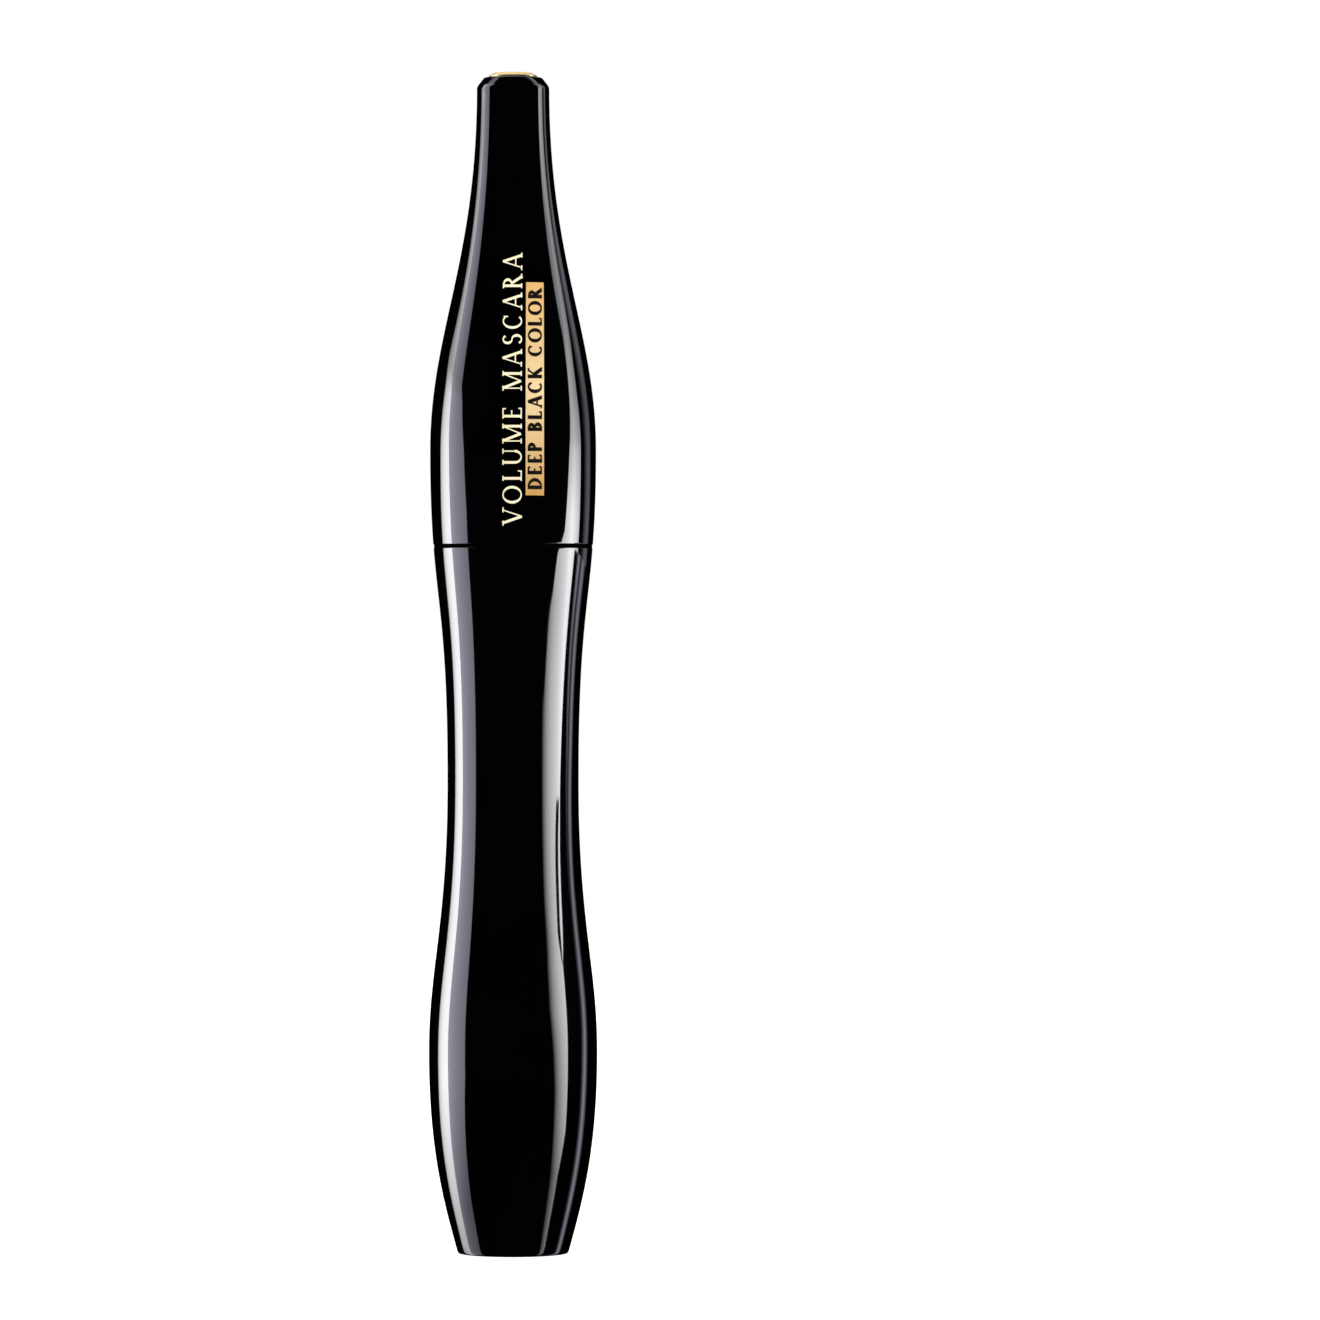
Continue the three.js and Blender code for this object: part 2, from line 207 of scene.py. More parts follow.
class Build:
    """Collects vertices (in millimetres) and faces, and makes one object of them."""

    def __init__(self):
        self.verts = []
        self.faces = []

    def add(self, points, faces):
        first = len(self.verts)
        self.verts += [tuple(p) for p in points]
        self.faces += [tuple(first + i for i in face) for face in faces]

    def loft(self, rings):
        """Rings of points joined into a tube with a flat cap at each end."""
        count = len(rings[0])
        faces = []
        for i in range(len(rings) - 1):
            for k in range(count):
                a = i * count + k
                b = i * count + (k + 1) % count
                faces.append((a, b, b + count, a + count))
        faces.append(tuple(reversed(range(count))))
        last = (len(rings) - 1) * count
        faces.append(tuple(range(last, last + count)))
        self.add([p for ring in rings for p in ring], faces)

    def turn(self, outline, segments=128):
        """A closed (radius, height) outline turned about the Z axis."""
        rings = []
        for r, z in outline:
            if r < 1e-6:
                self.verts.append((0, 0, z))
                rings.append([len(self.verts) - 1] * segments)
                continue
            first = len(self.verts)
            for k in range(segments):
                angle = 2 * math.pi * k / segments
                self.verts.append((r * math.cos(angle), r * math.sin(angle), z))
            rings.append(list(range(first, first + segments)))
        for low, high in zip(rings, rings[1:] + rings[:1]):
            for k in range(segments):
                n = (k + 1) % segments
                face = list(dict.fromkeys([low[k], low[n], high[n], high[k]]))
                if len(face) > 2:
                    self.faces.append(tuple(face))

    def make(self, name, material, body, replaces=()):
        """The finished object, riding on its body and standing for its CAD nodes."""
        mesh = bpy.data.meshes.new(name)
        mesh.from_pydata([[c * MM for c in v] for v in self.verts], [], self.faces)
        mesh.validate()
        work = bmesh.new()
        work.from_mesh(mesh)
        bmesh.ops.recalc_face_normals(work, faces=work.faces)
        work.to_mesh(mesh)
        work.free()
        for face in mesh.polygons:
            face.use_smooth = True
        mesh.set_sharp_from_angle(angle=SHARP_ANGLE)
        mesh.materials.append(material)
        piece = bpy.data.objects.new(name, mesh)
        bpy.context.scene.collection.objects.link(piece)
        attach(piece, body)
        if replaces:
            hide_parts(*replaces)
        return piece


def helix_ridge(build, root_r, side, z_start, phase, bury=0.3, steps=72):
    """One thread ridge that grows out of its wall, runs round and dies away."""
    count = round(THREAD_TURNS * steps)
    section = [(-0.55, -1), (-0.5, 0), (-0.32, 0.8), (-0.2, 1), (0.2, 1), (0.32, 0.8), (0.5, 0), (0.55, -1)]
    rows = []
    for i in range(count + 1):
        angle = 2 * math.pi * (i / steps + phase)
        ends = min(i, count - i) / steps
        swell = min(1.0, ends / 0.06) ** 0.5
        row = []
        for across, up in section:
            reach = up * THREAD_HEIGHT * swell if up > 0 else up * bury
            r = root_r + side * reach
            z = z_start + across * (0.35 + 0.65 * swell) + LEAD * i / steps
            row.append((r * math.cos(angle), r * math.sin(angle), z))
        rows.append(row)
    build.loft(rows)


def threads(build, root_r, side, z_start):
    for start in range(STARTS):
        helix_ridge(build, root_r, side, z_start, start / STARTS)


def tube(build, path, radii, sides):
    """A tapering round bar along a path of points, with a flat cap at each end."""
    rows = []
    for i, centre in enumerate(path):
        along = (path[min(i + 1, len(path) - 1)] - path[max(i - 1, 0)]).normalized()
        side = along.cross(Vector((0, 0, 1)) if abs(along.z) < 0.9 else Vector((1, 0, 0))).normalized()
        up = side.cross(along)
        row = []
        for k in range(sides):
            angle = 2 * math.pi * k / sides
            row.append(centre + (side * math.cos(angle) + up * math.sin(angle)) * radii[i])
        rows.append(row)
    build.loft(rows)


# ---- Materials ------------------------------------------------------------------------------


def linked(tree, kind, inputs=(), **settings):
    """A new node with its settings, and its inputs set to values or joined to other outputs."""
    node = tree.nodes.new(kind)
    for key, value in settings.items():
        setattr(node, key, value)
    for key, value in dict(inputs).items():
        if isinstance(value, bpy.types.NodeSocket):
            tree.links.new(value, node.inputs[key])
        else:
            node.inputs[key].default_value = value
    return node


def ramp(tree, value, low, high, first, last):
    """Maps a texture's low to high onto first to last."""
    node = linked(tree, "ShaderNodeMapRange", {"Value": value, "From Min": low, "From Max": high})
    node.inputs["To Min"].default_value = first
    node.inputs["To Max"].default_value = last
    return node.outputs["Result"]


def blend_colour(tree, share, first, last):
    """Mixes two colours. The first may also be another node's output."""
    node = linked(tree, "ShaderNodeMix", data_type="RGBA")
    tree.links.new(share, node.inputs["Factor"])
    if isinstance(first, bpy.types.NodeSocket):
        tree.links.new(first, node.inputs[6])
    else:
        node.inputs[6].default_value = (*first, 1)
    node.inputs[7].default_value = (*last, 1)
    return node.outputs[2]


def surface(name, colours, roughness, grain, bump, stretch=(1, 1, 1), **uniform):
    """A principled material whose colour, roughness and height follow one grain.

    colours and roughness are (low, high) pairs, grain is the noise's size in millimetres, and
    bump is the depth of the relief in millimetres."""
    made = bpy.data.materials.new(name)
    made.use_nodes = True
    tree = made.node_tree
    shader = tree.nodes["Principled BSDF"]
    place = tree.nodes.new("ShaderNodeTexCoord").outputs["Object"]
    place = linked(tree, "ShaderNodeMapping", {"Vector": place, "Scale": stretch}).outputs[0]
    coarse = linked(tree, "ShaderNodeTexNoise", {"Vector": place, "Scale": 1 / (8 * grain * MM)})
    fine = linked(tree, "ShaderNodeTexNoise", {"Vector": place, "Scale": 1 / (grain * MM)})
    patches = coarse.outputs["Fac"]
    specks = fine.outputs["Fac"]
    share = ramp(tree, patches, 0.3, 0.7, 0, 1)
    tree.links.new(blend_colour(tree, share, *colours), shader.inputs["Base Color"])
    tree.links.new(ramp(tree, patches, 0.3, 0.7, *roughness), shader.inputs["Roughness"])
    if bump:
        relief = linked(tree, "ShaderNodeBump", {"Height": specks, "Distance": bump * MM, "Strength": 1.0})
        tree.links.new(relief.outputs[0], shader.inputs["Normal"])
    for key, value in uniform.items():
        shader.inputs[key.replace("_", " ")].default_value = value
    return made


def lacquer():
    """Deep gloss black moulding with the faintest unevenness."""
    return surface("gloss_black_lacquer", ((0.0002, 0.0002, 0.0004), (0.0006, 0.0005, 0.0010)),
                   (0.035, 0.06), 1.6, 0.0004, IOR=1.5)


def satin():
    """Moulded black plastic of the inner pieces."""
    return surface("satin_black_moulding", ((0.008, 0.008, 0.009), (0.014, 0.014, 0.016)),
                   (0.26, 0.38), 0.12, 0.004, IOR=1.5)


def seam_painted_shade():
    """Dead black for the collar in the seam, with no shine: painted shade for the seam's shadow gap."""
    return surface("seam_painted_shadow", ((0.0005, 0.0005, 0.0006), (0.0012, 0.0012, 0.0013)),
                   (0.7, 0.8), 0.12, 0.002, Specular_IOR_Level=0.0)


def rod_gloss():
    """The glossy stem, with the dulling that a film of product leaves."""
    return surface("rod_gloss_black", ((0.003, 0.003, 0.0035), (0.006, 0.006, 0.007)),
                   (0.06, 0.16), 0.3, 0.0015, IOR=1.5)


def soft_white():
    """Waxy natural plastic, stained here and there by the product."""
    return surface("soft_natural_plastic", ((0.34, 0.33, 0.31), (0.7, 0.69, 0.65)),
                   (0.38, 0.55), 0.2, 0.003, Subsurface_Weight=0.15, Subsurface_Scale=0.0008)


def wet_paste():
    """Thick wet black product."""
    return surface("wet_black_paste", ((0.0015, 0.0015, 0.002), (0.006, 0.006, 0.007)),
                   (0.1, 0.3), 0.35, 0.06, IOR=1.45)


def coated_fibre():
    """Black fibres wet with product."""
    return surface("coated_black_fibre", ((0.0018, 0.0018, 0.002), (0.006, 0.006, 0.0065)),
                   (0.05, 0.16), 0.16, 0.02, IOR=1.45, Specular_IOR_Level=0.32)


def wire_steel():
    return surface("drawn_steel_wire", ((0.1, 0.1, 0.1), (0.34, 0.34, 0.35)),
                   (0.22, 0.45), 0.15, 0.002, stretch=(1, 1, 0.2), Metallic=1.0)


def label_film():
    return surface("satin_label_film", ((0.02, 0.02, 0.022), (0.03, 0.03, 0.033)),
                   (0.32, 0.42), 0.08, 0.001)


def gold_foil_with_painted_highlight():
    """Hot-stamped gold foil, with a painted highlight that pales it towards the middle of the bar."""
    made = surface("gold_foil_painted_highlight", ((0.58, 0.31, 0.08), (0.76, 0.46, 0.15)),
                   (0.38, 0.5), 0.5, 0.0015, stretch=(1, 1, 0.35), Metallic=0.25)
    tree = made.node_tree
    colour = tree.nodes["Principled BSDF"].inputs["Base Color"]
    # Painted highlight: the base colour lightens towards the bar's middle height, standing in for light on
    # the foil.
    place = tree.nodes.new("ShaderNodeTexCoord").outputs["Object"]
    height = linked(tree, "ShaderNodeSeparateXYZ", {"Vector": place}).outputs["Z"]
    middle = (BAR_LOW + BAR_HIGH) / 2 * MM
    away = linked(tree, "ShaderNodeMath", {0: height, 1: middle}, operation="SUBTRACT")
    away = linked(tree, "ShaderNodeMath", {0: away.outputs[0]}, operation="ABSOLUTE")
    half = (BAR_HIGH - BAR_LOW) / 2 * MM
    share = ramp(tree, away.outputs[0], 0, half, 0.8, 0)
    blend = blend_colour(tree, share, colour.links[0].from_socket, (0.95, 0.74, 0.42))
    tree.links.new(blend, colour)
    return made


def pale_foil():
    return surface("pale_gold_foil", ((0.84, 0.72, 0.40), (0.98, 0.92, 0.68)),
                   (0.38, 0.5), 0.5, 0.0015, stretch=(1, 1, 0.35), Metallic=0.15)


def print_black():
    return surface("printed_black", ((0.003, 0.002, 0.002), (0.006, 0.004, 0.004)),
                   (0.4, 0.5), 0.2, 0.001, Specular_IOR_Level=0.25)


def spun_gold():
    """Anodised gold disc with fine turned rings."""
    made = surface("spun_gold", ((0.74, 0.51, 0.19), (0.84, 0.62, 0.27)),
                   (0.24, 0.34), 0.4, 0, Metallic=1.0, Anisotropic=0.5)
    tree = made.node_tree
    place = tree.nodes.new("ShaderNodeTexCoord").outputs["Object"]
    rings = linked(tree, "ShaderNodeTexWave", {"Vector": place, "Scale": 2.2 / MM},
                   wave_type="RINGS", rings_direction="Z")
    relief = linked(tree, "ShaderNodeBump",
                    {"Height": rings.outputs["Fac"], "Distance": 0.003 * MM, "Strength": 1.0})
    tree.links.new(relief.outputs[0], tree.nodes["Principled BSDF"].inputs["Normal"])
    return made


# ---- Bottle ---------------------------------------------------------------------------------


def bottle_shell(material):
    build = Build()
    build.turn(rounded([
        (BASE_BORE_R, 0, 0.12),
        (BASE[0] - 0.15, 0, 0.35),
        *outer_points(BASE[1], SEAM_LOW - 0.15),
        (outer_radius(SEAM_LOW), SEAM_LOW, 0.06),
        (MOUTH_R, SEAM_LOW, 0.12),
        (MOUTH_R, MOUTH_FLOOR),
        (VIAL_BORE_R, MOUTH_FLOOR, 0.1),
        (VIAL_BORE_R, 4.4),
        (BASE_BORE_R, 3.2),
    ]), 192)
    return build.make("bottle_shell_gloss", material, "bottle", ["bottle_shell"])


def base_plug(material):
    build = Build()
    r = BASE_BORE_R - 0.1
    build.turn(rounded([
        (0, 0.6), (4.7, 0.6), (4.7, 0.3, 0.1), (r, 0.3, 0.18), (r, 2.6, 0.1), (r - 1.2, 2.9, 0.1),
        (r - 1.2, 1.7), (0, 1.7),
    ]), 96)
    return build.make("base_plug_moulded", material, "bottle", ["base_plug"])


def base_label(material):
    build = Build()
    build.turn(rounded([(0, 0.42), (4.6, 0.42, 0.03), (4.6, 0.55), (0, 0.55)]), 96)
    return build.make("base_label_film", material, "bottle", ["base_label"])


def vial(material, seam_shade_material):
    """The inner reservoir with its flange, the collar in the seam, its neck and two-start thread."""
    build = Build()
    inner = VIAL_R - VIAL_WALL
    flange_r = MOUTH_R - 0.1
    build.turn(rounded([
        (0, VIAL_BOTTOM), (VIAL_R - 0.8, VIAL_BOTTOM, 1.6), (VIAL_R, VIAL_BOTTOM + 2.2, 0.6),
        (VIAL_R, MOUTH_FLOOR + 0.3), (flange_r, MOUTH_FLOOR + 0.3, 0.1),
        (flange_r, SEAM_LOW + 0.01), (COLLAR_R, SEAM_LOW + 0.01, 0.03),
        (COLLAR_R, SEAM_HIGH - 0.02, 0.03), (NECK_R, SEAM_HIGH - 0.02, 0.3),
        (NECK_R, NECK_TOP, 0.25), (NECK_BORE_R, NECK_TOP, 0.15),
        (NECK_BORE_R, MOUTH_FLOOR + 1.2, 0.4), (inner, MOUTH_FLOOR - 1.2, 0.6),
        (inner, 6.4, 0.6), (VIAL_R - 2.4, 4.6, 0.6), (0, 4.6),
    ]), 128)
    threads(build, NECK_R, 1, THREAD_LOW)
    piece = build.make("vial_moulded", material, "bottle", ["vial"])
    # The collar's rim takes the dead black, which is painted shade for the seam's shadow gap.
    piece.data.materials.append(seam_shade_material)
    for face in piece.data.polygons:
        if face.center.xy.length > (COLLAR_R - 0.2) * MM:
            face.material_index = 1
    return piece


def wiper(material):
    build = Build()
    sleeve = NECK_BORE_R - 0.1
    throat = 3.9
    lip = ROD_R + 0.06
    flange = NECK_TOP + 0.05
    build.turn(rounded([
        (throat, flange + 0.6, 0.25), (throat, 87.6, 0.6), (lip, 85.2, 0.1), (lip, 84.6, 0.1),
        (throat - 0.6, 86.6, 0.2), (throat - 0.1, 84.2, 0.1), (sleeve - 0.1, 84.2, 0.2),
        (sleeve, flange), (NECK_R - 0.35, flange, 0.05), (NECK_R - 0.35, flange + 0.6, 0.15),
    ]), 96)
    return build.make("wiper_soft", material, "bottle", ["wiper"])


def mascara_paste(material):
    """The product lining the vial, ridged where the brush has passed."""
    build = Build()
    outer = VIAL_R - VIAL_WALL - 0.1
    outline = rounded([
        (0, 4.72), (outer - 1.8, 4.72, 1.2), (outer, 6.6, 0.6), (outer, 61, 0.2),
        (outer - 0.6, 60.2, 0.3), (4.2, 59.4, 0.4), *[(4.2, 59 - 0.75 * k) for k in range(66)],
        (4.2, 9.2, 0.5), (2.9, 8.2, 0.5), (0, 7.9),
    ])
    build.turn(outline, 96)
    for i, (x, y, z) in enumerate(build.verts):
        r = math.hypot(x, y)
        if 0 < r < outer - 0.3 and z > 8.3:
            grown = 1 + 0.035 * noise.noise(Vector((x, y, z)) * 0.9)
            build.verts[i] = (x * grown, y * grown, z)
    return build.make("mascara_paste_wet", material, "bottle", ["mascara_paste"])


# ---- Cap and wand ---------------------------------------------------------------------------


def seal_washer(material):
    build = Build()
    bore = ROD_R + FIT
    build.turn(rounded([
        (bore, WASHER_LOW, 0.1), (WASHER_R, WASHER_LOW, 0.18),
        (WASHER_R, WASHER_HIGH, 0.18), (bore, WASHER_HIGH, 0.1),
    ]), 96)
    return build.make("seal_washer_soft", material, "seal", ["seal_washer"])


def cap_shell(material):
    build = Build()
    bore = LINER_R + FIT
    plug_bore = PLUG_R + FIT
    inside = [(outer_radius(z) - 1.55, z) for z in range(130, 104, -2)]
    build.turn(rounded([
        (bore, SEAM_HIGH, 0.15),
        (outer_radius(SEAM_HIGH), SEAM_HIGH, 0.06),
        *outer_points(SEAM_HIGH + 0.15, TIP[1] - 0.9),
        (TIP[0], TIP[1], 0.9),
        (*CAP_END, 0.45),
        (plug_bore, CAP_END[1], 0.06),
        (plug_bore, 131),
        *inside,
        (LINER_R - 0.9, LINER_TOP + 0.3),
        (bore, LINER_TOP + 0.3),
    ]), 192)
    return build.make("cap_shell_gloss", material, "applicator", ["cap_shell"])


def cap_liner(material):
    """The inner sleeve: its threads run midway between the neck's."""
    build = Build()
    head = STEM_HEAD_R + 0.1
    build.turn(rounded([
        (LINER_BORE_R, LINER_BOTTOM, 0.3), (LINER_R, LINER_BOTTOM, 0.2), (LINER_R, LINER_TOP, 0.3),
        (0, LINER_TOP), (0, STEM_SEAT), (head, STEM_SEAT), (head, NECK_TOP + 0.9, 0.1),
        (LINER_BORE_R, NECK_TOP + 0.2, 0.2),
    ]), 128)
    threads(build, LINER_BORE_R, -1, THREAD_LOW + LEAD / (2 * STARTS))
    return build.make("cap_liner_moulded", material, "applicator", ["cap_liner"])


def cap_end_plug(material):
    build = Build()
    high = CAP_END[1] - SEAL_GAP
    build.turn(rounded([(0, PLUG_LOW), (PLUG_R, PLUG_LOW, 0.4), (PLUG_R, high, 0.1), (0, high)]), 96)
    return build.make("cap_end_plug_moulded", material, "applicator", ["cap_end_plug"])


def gold_disc(material):
    build = Build()
    low = CAP_END[1] + SEAL_GAP
    bevel = low + DISC_EDGE
    build.turn(rounded([
        (0, low), (DISC_R, low, 0.04), (DISC_R, bevel, 0.05), (DISC_TOP_R, TOP, 0.25), (0, TOP),
    ], 8), 128)
    return build.make("gold_disc_spun", material, "applicator", ["gold_disc"])


def wand_rod(material):
    """The stem: held in the liner by its head, tapered where it grips the brush's wire."""
    build = Build()
    socket = 2 * WIRE_R + 0.06
    build.turn(rounded([
        (socket, ROD_END[1], 0.08), (ROD_END[0], ROD_END[1], 0.25), (1.5, 39.3, 1.5),
        (ROD_R, ROD_TAPER_TOP, 3.0), (ROD_R, STEM_HEAD_LOW, 0.1),
        (STEM_HEAD_R, STEM_HEAD_LOW, 0.2), (STEM_HEAD_R, STEM_HEAD_HIGH, 0.2),
        (0, STEM_HEAD_HIGH + 0.2), (0, WIRE_TOP + 0.4), (socket, WIRE_TOP + 0.4),
    ]), 96)
    return build.make("wand_rod_gloss", material, "applicator", ["wand_rod"])


# ---- Brush ----------------------------------------------------------------------------------


def brush_wire(material):
    """One wire, bent back on itself at the tip and twisted."""
    build = Build()
    bend = WIRE_TIP + 2 * WIRE_R
    turns = (WIRE_TOP - bend) / (2 * ROW_PITCH)
    count = round(turns * 14)

    def strand(i, phase):
        angle = phase + 2 * math.pi * turns * i / count
        z = bend + (WIRE_TOP - bend) * i / count
        return Vector((WIRE_R * math.cos(angle), WIRE_R * math.sin(angle), z))

    down = [strand(i, 0) for i in range(count, -1, -1)]
    turn_back = []
    for k in range(1, 6):
        angle = math.pi * k / 6
        turn_back.append(Vector((WIRE_R * math.cos(angle), 0, bend - WIRE_R * math.sin(angle))))
    up = [strand(i, math.pi) for i in range(count + 1)]
    path = down + turn_back + up
    tube(build, path, [WIRE_R * 0.97] * len(path), 10)
    return build.make("brush_wire_twisted", material, "applicator", ["brush_wire"])


FIBRES_A_ROW = 64
CLUMPS_A_ROW = 22
CLUMP_RADII = [0.36, 0.36, 0.35, 0.34, 0.33, 0.3, 0.2]  # from the wire out to the blunt end
CORE_R = 1.85


def spoke(azimuth, r_start, r_end, z_start, z_end, droop, points=5):
    """A slightly bowed line from the wire outwards."""
    path = []
    for k in range(points):
        t = k / (points - 1)
        r = r_start + (r_end - r_start) * t
        z = z_start + (z_end - z_start) * t + droop * math.sin(math.pi * t)
        path.append(Vector((r * math.cos(azimuth), r * math.sin(azimuth), z)))
    return path


def row_core(build, z, rng):
    """The lumps of product round the wire at one row."""
    rows = []
    for level in range(7):
        up = level / 6 * 2 - 1
        swell = math.sqrt(max(0.0, 1 - (0.96 * up) ** 2))
        row = []
        for k in range(28):
            angle = 2 * math.pi * k / 28
            spot = Vector((3 * math.cos(angle), 3 * math.sin(angle), 2.2 * (z + up)))
            lumps = noise.noise(spot) + rng.uniform(-0.12, 0.12)
            r = 0.75 + (CORE_R - 0.75) * swell * (1 + 0.32 * lumps)
            row.append((r * math.cos(angle), r * math.sin(angle), z + up * 0.62 * ROW_PITCH))
        rows.append(row)
    build.loft(rows)


def bead(build, low, high, radius, end_share, rng):
    """Product gathered round the wire between two heights, thinner at its ends."""
    rows = []
    for level in range(9):
        up = level / 8
        swell = end_share + (1 - end_share) * math.sin(math.pi * up) ** 0.6
        row = []
        for k in range(24):
            angle = 2 * math.pi * k / 24
            r = radius * swell * (1 + rng.uniform(-0.06, 0.06))
            row.append((r * math.cos(angle), r * math.sin(angle), low + (high - low) * up))
        rows.append(row)
    build.loft(rows)


def bristle_row(number, material):
    """Half a turn of the twisted brush: fibres on both sides of the wire, stuck into clumps."""
    node = f"bristle_row_{number + 1:02d}"
    low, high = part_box(node)
    reach = max(high.x, high.y, -low.x, -low.y) / MM
    centre = (low.z + high.z) / 2 / MM
    rng = random.Random(1000 + number)
    build = Build()
    row_core(build, centre, rng)
    if number == 0:
        bead(build, WIRE_TIP + 0.05, centre, 0.95, 0.5, rng)
    if number == ROWS - 1:
        bead(build, centre, ROD_END[1] + 0.02, 1.5, 0.8, rng)

    def height(share):
        return centre + (share - 0.5) * ROW_PITCH

    for k in range(CLUMPS_A_ROW):
        share = (k // 2 + rng.uniform(0.2, 0.8)) / (CLUMPS_A_ROW / 2)
        azimuth = math.pi * (share - 0.5 + k % 2)
        end = reach * rng.uniform(0.86, 1.0)
        path = spoke(azimuth, 0.8, end, height(share), height(share) + rng.uniform(-0.16, 0.16),
                     rng.uniform(-0.08, 0.08), 7)
        tube(build, path, [r * rng.uniform(0.85, 1.15) for r in CLUMP_RADII], 7)
    for k in range(FIBRES_A_ROW):
        share = rng.random()
        azimuth = math.pi * (share - 0.5 + k % 2) + rng.uniform(-0.05, 0.05)
        end = reach * rng.uniform(0.9, 1.05)
        start = height(share) + rng.uniform(-0.15, 0.15)
        path = spoke(azimuth, 1.4, end, start, start + rng.uniform(-0.32, 0.32), rng.uniform(-0.1, 0.1))
        tube(build, path, [0.075, 0.07, 0.06, 0.05, 0.02], 5)
    return build.make(f"{node}_fibres", material, "applicator", [node])


# ---- Printed marks --------------------------------------------------------------------------

BAR_LOW = 88.4  # the gold bar's ends
BAR_HIGH = 113.2
BAR_LEFT = 1.65
BAR_WIDTH = 2.2
BAR_MARGIN = 0.7  # bare foil before and after the wording
FOIL_PROUD = 0.02  # how far a mark stands off the lacquer
FOIL_SUNK = 0.03
INK_PROUD = 0.012  # how far the ink stands off the foil
THICK = 0.135  # stroke widths, in letter heights
THIN = 0.062
SERIF = 0.13  # half the length of a serif


def on_cap(across, up, proud, facing):
    """A point on the cap's surface: across is measured round it from the way it faces."""
    r = outer_radius(up)
    angle = facing + across / r
    return ((r + proud) * math.cos(angle), (r + proud) * math.sin(angle), up)


def slab(build, rows, proud, facing):
    """A thin raised film on the cap, from rows of (across, up) points."""
    count = len(rows[0])
    top = [on_cap(*p, proud, facing) for row in rows for p in row]
    under = [on_cap(*p, -FOIL_SUNK, facing) for row in rows for p in row]
    faces = []
    for i in range(len(rows) - 1):
        for k in range(count - 1):
            a = i * count + k
            face = (a, a + 1, a + count + 1, a + count)
            faces += [face, tuple(len(top) + v for v in reversed(face))]
    rim = list(range(count))
    rim += [i * count + count - 1 for i in range(1, len(rows))]
    rim += [(len(rows) - 1) * count + k for k in range(count - 2, -1, -1)]
    rim += [i * count for i in range(len(rows) - 2, 0, -1)]
    for a, b in zip(rim, rim[1:] + rim[:1]):
        faces.append((b, a, len(top) + a, len(top) + b))
    build.add(top + under, faces)


def line(a, b, width, pieces=5):
    """A straight stroke as (left edge, right edge) point pairs."""
    a, b = Vector(a), Vector(b)
    side = Vector((a.y - b.y, b.x - a.x)).normalized() * width / 2
    steps = [a.lerp(b, k / pieces) for k in range(pieces + 1)]
    return [[p + side, p - side] for p in steps]


def bow(centre, rx, ry, start, end, thick, thin, pieces=14):
    """An elliptical stroke, thick at its sides and thin at its top and bottom."""
    rows = []
    for k in range(pieces + 1):
        angle = math.radians(start + (end - start) * k / pieces)
        width = thin + (thick - thin) * abs(math.cos(angle)) ** 1.5
        out = Vector((math.cos(angle) * (rx + width / 2), math.sin(angle) * (ry + width / 2)))
        inward = Vector((math.cos(angle) * (rx - width / 2), math.sin(angle) * (ry - width / 2)))
        rows.append([Vector(centre) + out, Vector(centre) + inward])
    return rows


def stem(x, low=0.0, high=1.0, width=THICK, feet=(True, True)):
    """An upright with a serif at its foot and head."""
    strokes = [line((x, low), (x, high), width)]
    for y, wanted, nudge in ((low, feet[0], THIN / 2), (high, feet[1], -THIN / 2)):
        if wanted:
            strokes.append(line((x - SERIF, y + nudge), (x + SERIF, y + nudge), THIN))
    return strokes


def arm(x0, x1, y):
    return [line((x0, y), (x1, y), THIN)]


def head(x, y=1.0):
    """The serif at the end of a slanted stroke."""
    nudge = -THIN / 2 if y > 0.5 else THIN / 2
    return [line((x - SERIF, y + nudge), (x + SERIF, y + nudge), THIN)]


